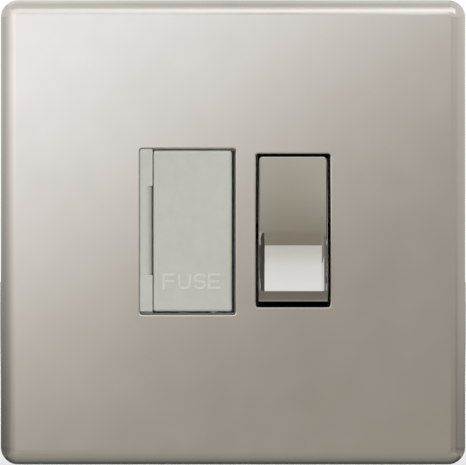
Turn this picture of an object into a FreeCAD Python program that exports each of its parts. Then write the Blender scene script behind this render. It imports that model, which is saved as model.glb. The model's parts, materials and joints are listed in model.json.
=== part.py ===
"""Fused spur unit: a one-gang switched fused connection unit with a screwless metal plate.

Millimetres. +Z is up, the front faces -Y and the wall plane is Y = 0. The origin lies midway
between the two wall-fixing holes, on the wall plane.
"""
import FreeCAD, Part
import Sketcher
import math
import os
import re

# Driving dimensions

SIZES = {
    # Front plate
    "plate_side": 86.0,
    "plate_proud": 5.0,
    "plate_sheet": 1.2,
    "plate_edge_r": 2.8,
    "plate_corner_r": 3.2,
    "window_corner_r": 0.45,
    "window_rim_r": 0.25,
    # Fuse side, seen from the front
    "fuse_window_x": -8.375,
    "fuse_window_w": 17.65,
    "fuse_window_z": 0.1,
    "fuse_window_h": 30.65,
    "door_left_x": -14.7,
    "door_w": 14.5,
    "door_h": 29.7,
    "door_z": 0.25,
    "door_thick": 1.35,
    "door_proud": 0.1,
    "door_edge_r": 0.5,
    "door_rim_r": 0.48,
    "hinge_inset": 3.4,
    "hinge_depth": 2.2,
    "hinge_pin_r": 0.7,
    "hinge_pin_length": 1.6,
    "ear_inset": 0.45,
    "ear_thick": 1.2,
    "ear_w": 3.0,
    "notch_r": 1.35,
    "notch_length": 16.5,
    "notch_rise": 0.25,
    "strip_play": 0.04,
    "strip_gap": 0.15,
    "frame_wall": 1.4,
    "frame_front": 3.5,
    "rest_x": -9.25,
    "rest_w": 1.5,
    "rest_depth": 0.4,
    "rest_thick": 1.2,
    "rest_reach": 0.15,
    "ledge_w": 0.15,
    "shelf_w": 3.5,
    "shelf_depth": 1.3,
    "shelf_thick": 1.0,
    # Cartridge fuse
    "fuse_length": 25.4,
    "fuse_r": 3.175,
    "fuse_cap_length": 5.6,
    "fuse_cap_end": 0.6,
    "fuse_tube_r": 2.9,
    "fuse_x": -7.6,
    "cradle_wall": 1.0,
    "cradle_length": 2.4,
    "cradle_pitch": 10.0,
    # Rocker
    "rocker_x": 11.1,
    "rocker_z": 0.35,
    "rocker_window_w": 13.7,
    "rocker_window_h": 28.3,
    "rocker_w": 12.7,
    "rocker_end_r": 14.4,
    "rocker_flat": 6.45,
    "rocker_lip": 7.72,
    "rocker_rear": 1.6,
    "rocker_skin": 0.9,
    "rocker_angle": 8.0,
    "pivot_depth": 0.2,
    "trunnion_r": 1.2,
    "trunnion_length": 1.2,
    "bearing_play": 0.4,
    "rail_start": 1.2,
    "rail_knee": 3.9,
    "rail_rise": 0.75,
    "core_rise": 0.3,
    "scoop_start": 3.7,
    "scoop_over": 0.15,
    "scoop_side_r": 1.3,
    "scoop_sink": 0.004,
    "dish_r": 49.0,
    "lip_drop": 0.3,
    "rocker_edge_r": 0.28,
    "rocker_corner_r": 0.75,
    # Plungers and see-saw contacts
    "pole_pitch": 6.0,
    "plunger_r": 1.2,
    "plunger_reach": 11.05,
    "plunger_tail": 6.0,
    "barrel_wall": 0.9,
    "barrel_reach": 8.0,
    "barrel_start": 1.2,
    "spring_wire": 0.3,
    "coil_play": 0.02,
    "spring_turns": 5.0,
    "seesaw_length": 17.0,
    "seesaw_w": 4.0,
    "seesaw_thick": 1.2,
    "fulcrum_depth": 13.7,
    "fulcrum_r": 0.6,
    "groove_play": 0.05,
    "tip_offset": 7.0,
    "tip_r": 1.4,
    "tip_thick": 0.8,
    "contact_gap": 1.25,
    "contact_tail": 2.0,
    # Housings
    "body_w": 51.0,
    "body_h": 56.0,
    "flange_thick": 3.0,
    "base_depth": 23.0,
    "base_floor": 1.5,
    "island_left": -18.9,
    "island_right": 20.0,
    "island_half_h": 17.6,
    "island_proud": 3.6,
    "rocker_well_play": 0.5,
    "corner_screw_x": 22.7,
    "corner_screw_z": 12.0,
    "corner_screw_r": 1.45,
    "corner_head_r": 2.3,
    "corner_head_h": 1.2,
    "cross_half": 1.4,
    "cross_w": 0.5,
    "cross_depth": 0.7,
    "boss_depth": 8.0,
    "base_wall": 1.5,
    "base_edge_r": 1.5,
    "base_rim_r": 0.6,
    "partition_y": 4.0,
    "partition_thick": 1.0,
    "slot_half_h": 3.4,
    "slot_play": 0.4,
    "cell_front": 13.0,
    "cell_rib": 1.2,
    "cell_half_h": 16.0,
    "cell_split": 4.1,
    "room_play": 1.0,
    # Yoke and clip frame
    "clip_rail": 3.1,
    "yoke_sheet": 1.2,
    "yoke_flange": 2.6,
    "flange_sheet": 1.0,
    "yoke_corner_r": 1.5,
    "fixing_pitch": 60.3,
    "fixing_hole_r": 2.1,
    "clip_play": 0.3,
    "clip_web": 1.0,
    "clip_foot": 0.4,
    "clip_hole_r": 4.6,
    "snap_w": 6.0,
    "snap_offset": 20.0,
    "snap_front": 2.1,
    "snap_thick": 0.6,
    "snap_reach": 0.7,
    "snap_slot_play": 0.2,
    "relief_w": 2.4,
    "relief_near": 12.0,
    "relief_far": 24.0,
    # Terminals
    "terminal_w": 7.0,
    "terminal_h": 8.0,
    "terminal_d": 8.5,
    "terminal_edge": 1.5,
    "wire_bore_r": 2.25,
    "wire_way_play": 0.5,
    "bore_wall": 1.0,
    "clamp_screw_r": 1.75,
    "clamp_gap": 0.3,
    "clamp_slot_w": 0.6,
    "clamp_slot_depth": 0.9,
    "supply_x": 6.5,
    "load_line_x": -7.6,
    "neutral_x": 16.9,
    "contact_sheet": 0.8,
    "contact_w": 4.4,
    "contact_rise": 2.6,
    "leaf_flat": 1.0,
    "leaf_curl": 2.6,
    "leaf_lift": 1.6,
    "leaf_drop": 4.0,
    "leaf_reach": 6.0,
    "link_w": 4.0,
    "link_gap": 0.3,
    "link_drop_w": 1.4,
    "link_toe_h": 3.2,
    # Earth straps and their rivets
    "strap_w": 5.0,
    "strap_sheet": 0.8,
    "strap_inset": 8.0,
    "rivet_inset": 4.8,
    "rivet_r": 1.2,
    "rivet_head_r": 1.8,
    "strap_stop": 1.5,
    "strap_margin": 0.3,
    "strap_room": 0.5,
    "rivet_head_h": 0.6,
    # Running clearance between moulded pieces
    "play": 0.1,
}

# Places worked out from the sizes

PLACES = {
    "plate_back": "-plate_proud + plate_sheet",
    "plate_inside": "plate_side / 2 - plate_sheet",
    "window_left": "fuse_window_x - fuse_window_w / 2",
    "window_right": "fuse_window_x + fuse_window_w / 2",
    "door_face": "-plate_proud - door_proud",
    "door_back": "door_face + door_thick",
    "door_right": "door_left_x + door_w",
    "hinge_x": "door_right - hinge_inset",
    "hinge_y": "door_face + hinge_depth",
    "frame_left": "window_left - 0.6",
    "frame_right": "window_right + frame_wall",
    "well_left": "door_left_x - strip_gap",
    "well_right": "window_right - ledge_w",
    "well_half": "door_h / 2 + strip_gap",
    "frame_half": "well_half + frame_wall",
    "ear_out": "door_h / 2 - ear_inset",
    "pivot_y": "pivot_depth",
    "rocker_left": "rocker_x - rocker_window_w / 2",
    "rocker_right": "rocker_x + rocker_window_w / 2",
    "well_end": "rocker_end_r + rocker_well_play",
    "barrel_r": "plunger_r + play / 2 + barrel_wall",
    "seesaw_face": "fulcrum_depth - seesaw_thick",
    "base_back": "base_depth - base_floor",
    "clip_half": "plate_inside - play - clip_rail",
    "yoke_half": "clip_half - clip_play",
    "terminal_front": "base_back - terminal_d",
    "terminal_out": "body_h / 2 - terminal_edge",
    "terminal_in": "terminal_out - terminal_h",
    "link_y": "base_back - contact_sheet / 2",
    "leaf_middle": "fuse_length / 2 - fuse_cap_length / 2",
    "link_low": "fuse_window_z + leaf_middle - contact_w / 2",
    "link_high": "fuse_window_z + leaf_middle + contact_w / 2",
    "line_left": "rocker_x - pole_pitch / 2 - seesaw_w / 2",
    "neutral_left": "rocker_x + pole_pitch / 2 - seesaw_w / 2",
    "strap_z": "body_h / 2 - strap_inset",
    "rivet_z": "body_h / 2 - rivet_inset",
    "strap_rear": "terminal_front - strap_sheet / 2",
    "slot_reach": "pole_pitch / 2 + barrel_r + slot_play",
    "boss_end": "flange_thick + boss_depth",
    "shelf_far": "well_right + play",
    "cell_out": "body_w / 2 - base_wall",
    "leaf_y": "fuse_r + contact_sheet / 2 + play / 2",
    "earth_x": "island_left - rivet_head_r - play",
    "bore_y": "terminal_front + bore_wall + wire_bore_r",
    "cradle_r": "fuse_tube_r + play / 2",
    "room_left": "fuse_x - leaf_reach - room_play",
    "room_half": "well_end + base_wall",
    "screw_top": "-yoke_sheet - corner_head_h",
    "link_front": "base_back - contact_sheet",
    "way_front": "link_front - play",
}

doc = FreeCAD.newDocument("FusedSpur")
sheet = doc.addObject("Spreadsheet::Sheet", "Sizes")
for row, (alias, number) in enumerate(SIZES.items(), start=1):
    sheet.set(f"A{row}", alias)
    sheet.set(f"B{row}", str(number))
    sheet.setAlias(f"B{row}", alias)
doc.recompute()

WORD = re.compile(r"[a-z][a-z_]*[a-z]")


def linked(text):
    """The expression with every name replaced by the sheet cells that it stands for."""
    def swap(match):
        word = match.group()
        if word in PLACES:
            return f"({linked(PLACES[word])})"
        return f"Sizes.{word}" if word in SIZES else word
    return WORD.sub(swap, str(text))


def size(text):
    """The expression's present value."""
    return float(sheet.evalExpression(linked(text)))


def bind(item, **properties):
    """Bind properties of an object to expressions over the sheet; two underscores stand for a dot."""
    for name, text in properties.items():
        item.setExpression(name.replace("__", "."), linked(text))


def around(middle, half):
    """Two bounds, one on each side of the middle."""
    return (f"{middle} - ({half})", f"{middle} + ({half})")


def span(sign, near_text, far_text):
    """Two bounds that lie above or below zero."""
    return (near_text, far_text) if sign > 0 else (f"-({far_text})", f"-({near_text})")


# Primitives whose sizes and places are bound to the sheet

def box(name, x, y, z):
    """A box between two expressions along each axis."""
    item = doc.addObject("Part::Box", name)
    bind(item, Length=f"({x[1]}) - ({x[0]})", Width=f"({y[1]}) - ({y[0]})", Height=f"({z[1]}) - ({z[0]})")
    bind(item, Placement__Base__x=x[0], Placement__Base__y=y[0], Placement__Base__z=z[0])
    return item


TURNS = {
    "X": FreeCAD.Rotation(FreeCAD.Vector(0, 1, 0), 90),
    "Y": FreeCAD.Rotation(FreeCAD.Vector(1, 0, 0), -90),
    "Z": FreeCAD.Rotation(),
}


def rod(name, axis, radius, along, middle):
    """A cylinder along an axis, between two expressions, about the point middle in the other two."""
    item = doc.addObject("Part::Cylinder", name)
    item.Placement = FreeCAD.Placement(FreeCAD.Vector(), TURNS[axis])
    bind(item, Radius=radius, Height=f"({along[1]}) - ({along[0]})")
    others = [letter for letter in "XYZ" if letter != axis]
    bind(item, **{f"Placement__Base__{axis.lower()}": along[0]})
    for letter, text in zip(others, middle):
        bind(item, **{f"Placement__Base__{letter.lower()}": text})
    return item


def fused(name, *pieces):
    item = doc.addObject("Part::MultiFuse", name)
    item.Shapes = list(pieces)
    return item


def cut(name, solid, *tools):
    item = doc.addObject("Part::Cut", name)
    item.Base = solid
    item.Tool = tools[0] if len(tools) == 1 else fused(f"{name}_tools", *tools)
    return item


def common(name, *pieces):
    item = doc.addObject("Part::MultiCommon", name)
    item.Shapes = list(pieces)
    return item


def rounded(name, solid, radius, wanted):
    """A Part fillet on the edges that the test picks by their geometry."""
    doc.recompute()
    item = doc.addObject("Part::Fillet", name)
    item.Base = solid
    r = size(radius)
    item.Edges = [(i, r, r) for i, edge in enumerate(solid.Shape.Edges, start=1) if wanted(edge)]
    return item


def at_angle(item, degrees, y, z):
    """Turn a solid about the X direction through the point (y, z)."""
    doc.recompute()
    turned = doc.addObject("Part::Feature", f"{item.Name}_turned")
    shape = item.Shape.copy()
    shape.rotate(FreeCAD.Vector(0, size(y), size(z)), FreeCAD.Vector(1, 0, 0), size(degrees))
    turned.Shape = shape
    return turned


NODES = []


def node(name, item):
    """Keep an object as the sub-part of this name."""
    item.Label = name
    NODES.append((name, item))
    return item


# Sketches and bodies

def origin_part(body, role):
    return next(item for item in body.Origin.OriginFeatures if item.Role == role)


def new_body(name):
    return doc.addObject("PartDesign::Body", f"{name}_body")


def rectangle(body, name, plane, left, right, low, high, offset="0"):
    """A fully bound rectangle sketch on one of the body's own origin planes."""
    sketch = body.newObject("Sketcher::SketchObject", name)
    sketch.AttachmentSupport = (origin_part(body, plane), "")
    sketch.MapMode = "FlatFace"
    bind(sketch, AttachmentOffset__Base__z=offset)
    x0, x1, y0, y1 = (size(text) for text in (left, right, low, high))
    corners = [FreeCAD.Vector(x, y, 0) for x, y in ((x0, y0), (x1, y0), (x1, y1), (x0, y1))]
    for i in range(4):
        sketch.addGeometry(Part.LineSegment(corners[i], corners[(i + 1) % 4]), False)
    for i in range(4):
        sketch.addConstraint(Sketcher.Constraint("Coincident", i, 2, (i + 1) % 4, 1))
    for i, kind in enumerate(("Horizontal", "Vertical", "Horizontal", "Vertical")):
        sketch.addConstraint(Sketcher.Constraint(kind, i))
    for kind, point, text in (
        ("DistanceX", (0, 1), left),
        ("DistanceX", (1, 1), right),
        ("DistanceY", (0, 1), low),
        ("DistanceY", (2, 1), high),
    ):
        at = sketch.addConstraint(Sketcher.Constraint(kind, -1, 1, *point, size(text)))
        sketch.setExpression(f"Constraints[{at}]", linked(text))
    return sketch


def pad(body, sketch, length, reverse=False):
    item = body.newObject("PartDesign::Pad", f"{sketch.Name}_pad")
    item.Profile = sketch
    item.Reversed = reverse
    bind(item, Length=length)
    doc.recompute()
    return item


def pocket(body, sketch, length, reverse=False):
    before = body.Tip.Shape.Volume
    item = body.newObject("PartDesign::Pocket", f"{sketch.Name}_pocket")
    item.Profile = sketch
    item.Reversed = reverse
    bind(item, Length=length)
    doc.recompute()
    if item.Shape.Volume > before - 0.001:
        raise RuntimeError(f"{item.Name} cuts nothing")
    return item


def dress(body, kind, name, radius, wanted):
    """A fillet or chamfer feature on the edges that the test picks by their geometry."""
    base = body.Tip
    item = body.newObject(f"PartDesign::{kind}", name)
    item.Base = (base, [f"Edge{i}" for i, edge in enumerate(base.Shape.Edges, start=1) if wanted(edge)])
    bind(item, **{"Radius" if kind == "Fillet" else "Size": radius})
    doc.recompute()
    return item


def near(a, b, slack=0.01):
    return abs(a - b) < slack


def along(edge, letter):
    """Whether the edge is a straight one along the axis."""
    if edge.Curve.TypeId != "Part::GeomLine":
        return False
    return abs(getattr(edge.tangentAt(edge.FirstParameter), letter.lower())) > 0.999


def in_plane(edge, letter, place):
    spread = edge.BoundBox
    low = getattr(spread, f"{letter}Min")
    high = getattr(spread, f"{letter}Max")
    return near(low, place) and near(high, place)


# Strips bent from sheet, drawn as a path with a thickness

def strip(name, points, thick, letter, low, high):
    """A bent strip: its middle line in the plane across the letter's axis, as wide as low to high."""
    half = size(thick) / 2
    path = [(size(a), size(b)) for a, b in points]
    sides = ([], [])
    for i, (a, b) in enumerate(path):
        ways = []
        for j, k in ((i - 1, i), (i, i + 1)):
            if j >= 0 and k < len(path):
                da, db = path[k][0] - path[j][0], path[k][1] - path[j][1]
                span = math.hypot(da, db)
                ways.append((-db / span, da / span))
        na, nb = (sum(way[n] for way in ways) for n in (0, 1))
        scale = half * len(ways) / (na * na + nb * nb) if len(ways) == 2 else half
        sides[0].append((a + na * scale, b + nb * scale))
        sides[1].append((a - na * scale, b - nb * scale))
    outline = sides[0] + sides[1][::-1]
    width = size(f"({high}) - ({low})")
    if letter == "Z":
        corners = [FreeCAD.Vector(a, b, size(low)) for a, b in outline]
        way = FreeCAD.Vector(0, 0, width)
    else:
        corners = [FreeCAD.Vector(size(low), a, b) for a, b in outline]
        way = FreeCAD.Vector(width, 0, 0)
    item = doc.addObject("Part::Feature", name)
    item.Shape = Part.Face(Part.makePolygon(corners + corners[:1])).extrude(way)
    return item


# Front plate: one pressed and polished sheet with rolled edges

def front_plate():
    body = new_body("front_plate")
    half = "plate_side / 2"
    outline = rectangle(body, "plate_outline", "XZ_Plane", f"-{half}", half, f"-{half}", half)
    pad(body, outline, "plate_proud")
    dress(body, "Fillet", "plate_corners", "plate_corner_r", lambda edge: along(edge, "Y"))
    front = -size("plate_proud")
    dress(body, "Fillet", "plate_rolled_edge", "plate_edge_r", lambda edge: in_plane(edge, "Y", front))
    rolled = body.Tip
    shell = body.newObject("PartDesign::Thickness", "plate_shell")
    shell.Base = (rolled, [f"Face{i}" for i, face in enumerate(rolled.Shape.Faces, start=1)
                           if near(face.BoundBox.YMin, 0)])
    shell.Reversed = True
    bind(shell, Value="plate_sheet")
    doc.recompute()
    for name, x, z, width, height in (
        ("fuse_window", "fuse_window_x", "fuse_window_z", "fuse_window_w", "fuse_window_h"),
        ("rocker_window", "rocker_x", "rocker_z", "rocker_window_w", "rocker_window_h"),
    ):
        opening = rectangle(body, name, "XZ_Plane", f"{x} - {width} / 2", f"{x} + {width} / 2",
                            f"{z} - {height} / 2", f"{z} + {height} / 2")
        pocket(body, opening, "plate_proud + 1", reverse=True)
    inner = size("plate_side / 2 - plate_edge_r - 1")

    def inside(edge):
        return max(abs(edge.CenterOfMass.x), abs(edge.CenterOfMass.z)) < inner

    dress(body, "Fillet", "window_corners", "window_corner_r", lambda edge: along(edge, "Y") and inside(edge))
    dress(body, "Fillet", "window_rims", "window_rim_r",
          lambda edge: in_plane(edge, "Y", front) and inside(edge))
    node("front_plate", body)


# Moulded frame bonded inside the plate, with four snaps for the yoke

def plate_clip_frame():
    low = "plate_inside - plate_edge_r + plate_sheet - play"
    deep = "plate_back + plate_edge_r - plate_sheet"
    wide = around("0", "plate_inside - play")
    inner = around("0", "clip_half")
    upper = box("clip_front_step", around("0", low), ("plate_back", deep), around("0", low))
    lower = box("clip_rear_step", wide, (deep, "-clip_foot"), wide)
    hollow = box("clip_hollow", inner, ("plate_back + clip_web", "play"), inner)
    window = box("clip_window", ("island_left - 2 * clip_play", "island_right + 2 * clip_play"),
                 ("-plate_proud", "0"), around("0", "island_half_h + 2 * clip_play"))
    holes = []
    for side, way in SIDES:
        holes.append(rod(f"clip_hole_{side}", "Y", "clip_hole_r", ("-plate_proud", "0"),
                         (f"{way} * fixing_pitch / 2", "0")))
    edge_x = size(f"{low} - 1")
    block = rounded("clip_block_rounded", fused("clip_block", upper, lower),
                    "plate_corner_r - plate_sheet + play",
                    lambda edge: along(edge, "Y") and abs(edge.CenterOfMass.x) > edge_x)
    snaps = []
    for side, way in SIDES:
        for name, sign in ENDS:
            snaps.append(box(f"snap_{name}_{side}", around(f"{way} * snap_offset", "snap_w / 2"),
                             ("-snap_front", "-snap_front + snap_thick"),
                             span(sign, "clip_half - snap_reach", "clip_half + play")))
    node("plate_clip_frame", fused("clip_frame", cut("clip_ring", block, hollow, window, *holes), *snaps))


# Fixing yoke: zinc-plated steel tray with folded edges

def yoke():
    whole = around("0", "yoke_half")
    inside = around("0", "yoke_half - flange_sheet")
    through = ("-yoke_flange", "1")
    plate = box("yoke_tray", whole, ("-yoke_flange", "0"), whole)
    tools = [box("yoke_hollow", inside, ("-yoke_flange - 1", "-yoke_sheet"), inside),
             box("yoke_window", ("island_left - play", "island_right + play"), through,
                 around("0", "island_half_h + play"))]
    slot_y = ("-snap_front - snap_slot_play", "-snap_front + snap_thick + snap_slot_play")
    for side, way in SIDES:
        fixing = f"{way} * fixing_pitch / 2"
        tools.append(rod(f"fixing_hole_{side}", "Y", "fixing_hole_r", through, (fixing, "0")))
        for name, sign in ENDS:
            snap_x = around(f"{way} * snap_offset", "snap_w / 2 + clip_play")
            tools.append(box(f"snap_slot_{side}_{name}", snap_x, slot_y,
                             span(sign, "yoke_half - yoke_sheet", "yoke_half + 1")))
            tools.append(box(f"relief_{side}_{name}", around(fixing, "relief_w / 2"), through,
                             span(sign, "relief_near", "relief_far")))
    for i, (x, z) in enumerate(CORNERS):
        tools.append(rod(f"yoke_hole_{i}", "Y", "corner_screw_r + play", through, corner_place(x, z)))
    for name, sign in ENDS:
        place = ("earth_x", f"{sign} * rivet_z")
        tools.append(rod(f"yoke_rivet_hole_{name}", "Y", "rivet_r", through, place))
    tray = cut("yoke_cut", plate, *tools)
    corner = size("yoke_half")
    node("yoke", rounded("yoke_rounded", tray, "yoke_corner_r",
                         lambda edge: along(edge, "Y") and near(abs(edge.CenterOfMass.x), corner)
                         and near(abs(edge.CenterOfMass.z), corner)))


CORNERS = ((-1, -1), (1, -1), (-1, 1), (1, 1))
ENDS = (("upper", 1), ("lower", -1))
SIDES = (("left", -1), ("right", 1))
CELLS = 3
POLES = (("line", -1), ("neutral", 1))
STRAP_ROOM = ("earth_x - strap_w / 2 - play", "earth_x + strap_w / 2 + play")


def corner_place(x, z):
    """The X and Z of a corner screw."""
    return (f"{x} * corner_screw_x", f"{z} * corner_screw_z")


def yoke_screws():
    pieces = []
    deep = ("screw_top - 1", "screw_top + cross_depth")
    for i, (x, z) in enumerate(CORNERS):
        place = corner_place(x, z)
        shank = rod(f"corner_shank_{i}", "Y", "corner_screw_r", ("-yoke_sheet - play", "boss_end"), place)
        head = rod(f"corner_head_{i}", "Y", "corner_head_r", ("screw_top", "-yoke_sheet"), place)
        long_slot = box(f"cross_a_{i}", around(place[0], "cross_half"), deep, around(place[1], "cross_w / 2"))
        tall_slot = box(f"cross_b_{i}", around(place[0], "cross_w / 2"), deep, around(place[1], "cross_half"))
        pieces.append(cut(f"corner_screw_{i}", fused(f"corner_blank_{i}", shank, head), long_slot, tall_slot))
    group("yoke_screws", pieces)


def group(name, pieces):
    """Several separate solids kept as one sub-part."""
    item = doc.addObject("Part::Compound", f"{name}_group")
    item.Links = pieces
    node(name, item)


# Black front housing: flange behind the yoke and an island that stands up through it

def front_housing():
    past = "flange_thick + 1"
    flange = box("flange", around("0", "body_w / 2"), ("0", "flange_thick"), around("0", "body_h / 2"))
    island = box("island", ("island_left", "island_right"), ("-island_proud", "play"),
                 around("0", "island_half_h"))
    seat = box("frame_seat", ("frame_left - play", "frame_right + play"), ("-plate_proud", past),
               around("fuse_window_z", "frame_half + play"))
    well = box("rocker_well", ("rocker_left", "rocker_right"), ("-plate_proud", past),
               around("rocker_z", "well_end"))
    bearing_x = around("rocker_x", "rocker_w / 2 + trunnion_length + bearing_play")
    bearing = rod("bearing_holes", "X", "trunnion_r + play / 2", bearing_x, ("pivot_y", "rocker_z"))
    tools = [seat, well, bearing]
    for i, (x, z) in enumerate(CORNERS):
        tools.append(rod(f"flange_hole_{i}", "Y", "corner_screw_r + play", ("-1", past), corner_place(x, z)))
    for name, sign in ENDS:
        tools.append(box(f"strap_seat_{name}", STRAP_ROOM, ("-play", "strap_sheet + 2 * rivet_head_h"),
                         span(sign, "strap_z - strap_sheet", "rivet_z + rivet_head_r + strap_room")))
        tools.append(box(f"strap_way_{name}", STRAP_ROOM, ("-play", past),
                         span(sign, "strap_z - strap_sheet", "strap_z + strap_sheet")))
    node("front_housing", cut("front_housing_cut", fused("front_housing_block", flange, island), *tools))


# Light grey frame round the fuse door

def fuse_frame():
    z0 = "fuse_window_z"
    block = box("frame_block", ("frame_left", "frame_right"), ("-frame_front", "flange_thick"),
                around(z0, "frame_half"))
    bar = box("frame_strip", ("window_left + strip_play", "well_left"), ("-plate_proud + play", "0"),
              ("door_z - door_h / 2", f"{z0} + fuse_window_h / 2 - strip_play"))
    bar_left = size("window_left + strip_play")
    bar_end = rounded("strip_end", bar, "window_corner_r",
                      lambda edge: along(edge, "Y") and edge.CenterOfMass.z > 0
                      and near(edge.CenterOfMass.x, bar_left))
    well = box("frame_well", ("well_left", "well_right"), ("-plate_proud - 1", "flange_thick + 1"),
               around(z0, "well_half"))
    room = around(f"({z0} + notch_rise)", "notch_length / 2")
    notch_block = box("notch_block", ("well_left - notch_r", "well_left + play"),
                      ("-plate_proud", "-plate_proud + play + notch_r"), room)
    notch_round = rod("notch_round", "Z", "notch_r", room,
                      ("well_left - notch_r", "-plate_proud + play + notch_r"))
    notch = cut("finger_notch", notch_block, notch_round)
    sockets = rod("hinge_sockets", "Z", "hinge_pin_r + play / 2",
                  around(z0, "ear_out + hinge_pin_length + play"), ("hinge_x", "hinge_y"))
    stop = box("door_rest", around("rest_x", "rest_w / 2"),
               ("-frame_front + rest_depth", "-frame_front + rest_depth + rest_thick"),
               (f"{z0} - well_half - play", f"{z0} - well_half + rest_reach"))
    shelf = box("frame_shelf", ("shelf_far - shelf_w", "shelf_far"),
                ("shelf_depth", "shelf_depth + shelf_thick"), around(z0, "well_half + play"))
    hollowed = cut("fuse_frame_cut", fused("fuse_frame_block", block, bar_end), well, notch, sockets)
    node("fuse_frame", fused("fuse_frame_whole", hollowed, stop, shelf))


# Hinged fuse carrier: door, two ears with pins and two cradles that grip the fuse

def fuse_carrier():
    body = new_body("carrier_door")
    outline = rectangle(body, "door_outline", "XZ_Plane", "door_left_x", "door_right",
                        *around("door_z", "door_h / 2"), offset="-(door_back)")
    pad(body, outline, "door_thick")
    dress(body, "Fillet", "door_corners", "door_edge_r", lambda edge: along(edge, "Y"))
    face = size("door_face")
    dress(body, "Fillet", "door_rim", "door_rim_r", lambda edge: in_plane(edge, "Y", face))
    hinge = ("hinge_x", "hinge_y")
    fuse = ("fuse_x", "0")
    pieces = [body]
    for name, sign in ENDS:
        ear_z = shifted(sign, "ear_out - ear_thick", "ear_out")
        pin_z = shifted(sign, "ear_out - 2 * play", "ear_out + hinge_pin_length")
        clip_z = shifted(sign, "cradle_pitch / 2 - cradle_length / 2", "cradle_pitch / 2 + cradle_length / 2")
        pieces.append(box(f"ear_{name}_block", around("hinge_x", "ear_w / 2"),
                          ("door_back - play", "hinge_y"), ear_z))
        pieces.append(rod(f"ear_{name}_round", "Z", "ear_w / 2", ear_z, hinge))
        pieces.append(rod(f"hinge_pin_{name}", "Z", "hinge_pin_r", pin_z, hinge))
        outer = rod(f"cradle_{name}_outside", "Z", "cradle_r + cradle_wall", clip_z, fuse)
        foot = box(f"cradle_{name}_foot", around("fuse_x", "fuse_r"), ("door_back - play", "0"), clip_z)
        bore = rod(f"cradle_{name}_bore", "Z", "cradle_r", clip_z, fuse)
        mouth = box(f"cradle_{name}_mouth", around("fuse_x", "fuse_r + cradle_wall"),
                    ("fuse_tube_r / 3", "fuse_r + 2 * cradle_wall"), clip_z)
        trim = box(f"cradle_{name}_trim", around("fuse_x", "fuse_r + 2 * cradle_wall"),
                   ("-2 * plate_proud", "door_back - play"), clip_z)
        pieces.append(cut(f"cradle_{name}", fused(f"cradle_{name}_blank", outer, foot), bore, mouth, trim))
    node("fuse_carrier", fused("carrier_whole", *pieces))


def shifted(sign, near_text, far_text):
    """Two Z bounds above or below the middle of the fuse window."""
    low, high = span(sign, near_text, far_text)
    return (f"fuse_window_z + ({low})", f"fuse_window_z + ({high})")


def cartridge_fuse():
    half = "fuse_length / 2"
    axis = ("fuse_x", "0")
    tube_z = around("fuse_window_z", f"{half} - fuse_cap_end")
    node("fuse_tube", rod("tube_blank", "Z", "fuse_tube_r", tube_z, axis))
    for name, sign in ENDS:
        outside = rod(f"cap_{name}_outside", "Z", "fuse_r",
                      shifted(sign, f"{half} - fuse_cap_length", half), axis)
        inside = rod(f"cap_{name}_inside", "Z", "fuse_tube_r",
                     shifted(sign, f"{half} - fuse_cap_length - 1", f"{half} - fuse_cap_end"), axis)
        node(f"fuse_cap_{name}", cut(f"cap_{name}_shell", outside, inside))


# Rocker: plated shell on a moulded core that carries the trunnions and plunger barrels

def turned_rocker(item):
    return at_angle(item, "-rocker_angle", "pivot_y", "rocker_z")


def rocker_form(name, shrink, rise):
    """The rocker's outer form in its level position, made smaller all round by shrink."""
    half = f"rocker_w / 2 - {shrink}"
    ends = rod(f"{name}_ends", "X", f"rocker_end_r - {shrink}", around("rocker_x", half),
               ("pivot_y", "rocker_z"))
    slab = box(f"{name}_slab", around("rocker_x", "rocker_w"),
               ("pivot_y - 2 * rocker_lip", "pivot_y + rocker_rear"), around("rocker_z", "rocker_end_r + 1"))
    return common(f"{name}_form", ends, slab, rocker_front(name, shrink, rise))


def lip_height():
    """How far below the pivot the lip's edge lies."""
    return math.sqrt(size("rocker_end_r") ** 2 - size("rocker_lip") ** 2)


def rocker_front(name, shrink, rise):
    """Everything behind the rocker's front: a flat upper part and rails that rise to the lip."""
    flat = size(f"pivot_y - rocker_flat + {shrink}")
    lip = size(f"pivot_y - rocker_lip + {shrink}")
    knee = (flat - size(rise), -size("rail_knee"))
    slope = (knee[0] - lip) / (lip_height() + knee[1])
    deep = size("pivot_y + rocker_rear + 1")
    far = size("rocker_end_r + 2")
    outline = [(deep, far), (flat, far), (flat, -size("rail_start")), knee,
               (knee[0] - slope * (far + knee[1]), -far), (deep, -far)]
    z0 = size("rocker_z")
    corners = [FreeCAD.Vector(size("rocker_x - rocker_w"), y, z0 + z) for y, z in outline]
    face = Part.Face(Part.makePolygon(corners + corners[:1]))
    item = doc.addObject("Part::Feature", f"{name}_front")
    item.Shape = face.extrude(FreeCAD.Vector(size("2 * rocker_w"), 0, 0))
    return item


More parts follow.
